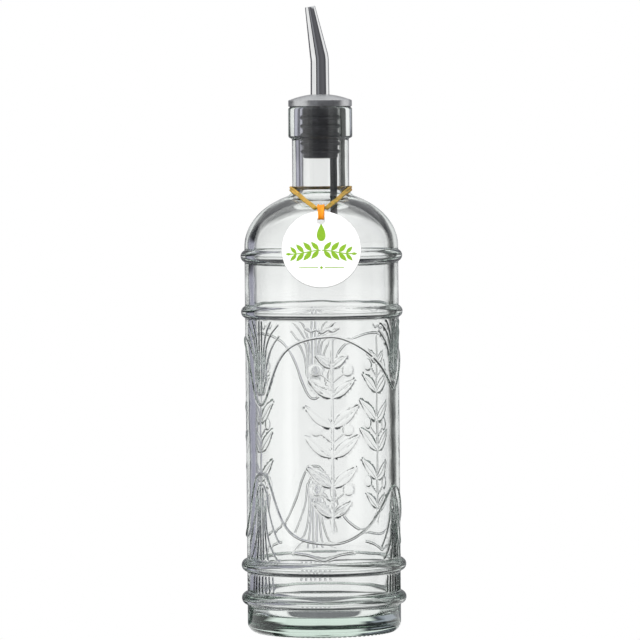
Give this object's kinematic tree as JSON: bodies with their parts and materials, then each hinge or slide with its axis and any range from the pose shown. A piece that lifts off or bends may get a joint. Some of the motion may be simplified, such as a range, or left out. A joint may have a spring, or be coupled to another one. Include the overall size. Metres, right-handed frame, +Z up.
{
  "type": "oil bottle with pourer",
  "caption": "Tall round glass oil and vinegar bottle with beads and relief panels, a push-in steel and rubber pourer, and a round hang tag on a neck elastic.",
  "frame": {"origin": "middle of the flat ring that the bottle stands on, on the bottle's axis", "axes": "+Z up along the bottle's axis, -Y towards the hang tag, -X towards the side to which the spout leans"},
  "size_m": [0.0784, 0.083, 0.2975],
  "materials": {
    "glass": "clear pressed glass with a faint green tint",
    "stopper_rubber": "matt black",
    "cap_steel": "satin",
    "spout_steel": "polished stainless steel",
    "breather_plastic": "dark grey",
    "band_elastic": "golden elastic",
    "card": "white card, smooth and matt",
    "loop_elastic": "orange elastic"
  },
  "bodies": {
    "bottle": {"bottle": "glass"},
    "pourer": {"stopper": "stopper_rubber", "cap": "cap_steel", "spout": "spout_steel", "breather_tube": "breather_plastic"},
    "neck_band": {"neck_band": "band_elastic"},
    "tag": {"tag": "card", "tag_loop": "loop_elastic"}
  },
  "joints": [
    {"name": "pourer_lift", "type": "slide", "parent": "bottle", "child": "pourer", "axis": [0, 0, 1], "range_m": [0, 0.072]},
    {"name": "band_turn", "type": "hinge", "parent": "bottle", "child": "neck_band", "pos_m": [0, 0, 0.2108], "axis": [0, 0, 1], "continuous": true},
    {"name": "tag_lift", "type": "hinge", "parent": "neck_band", "child": "tag", "pos_m": [0, -0.02925, 0.20198], "axis": [-1, 0, 0], "range_deg": [0, 150]}
  ]
}
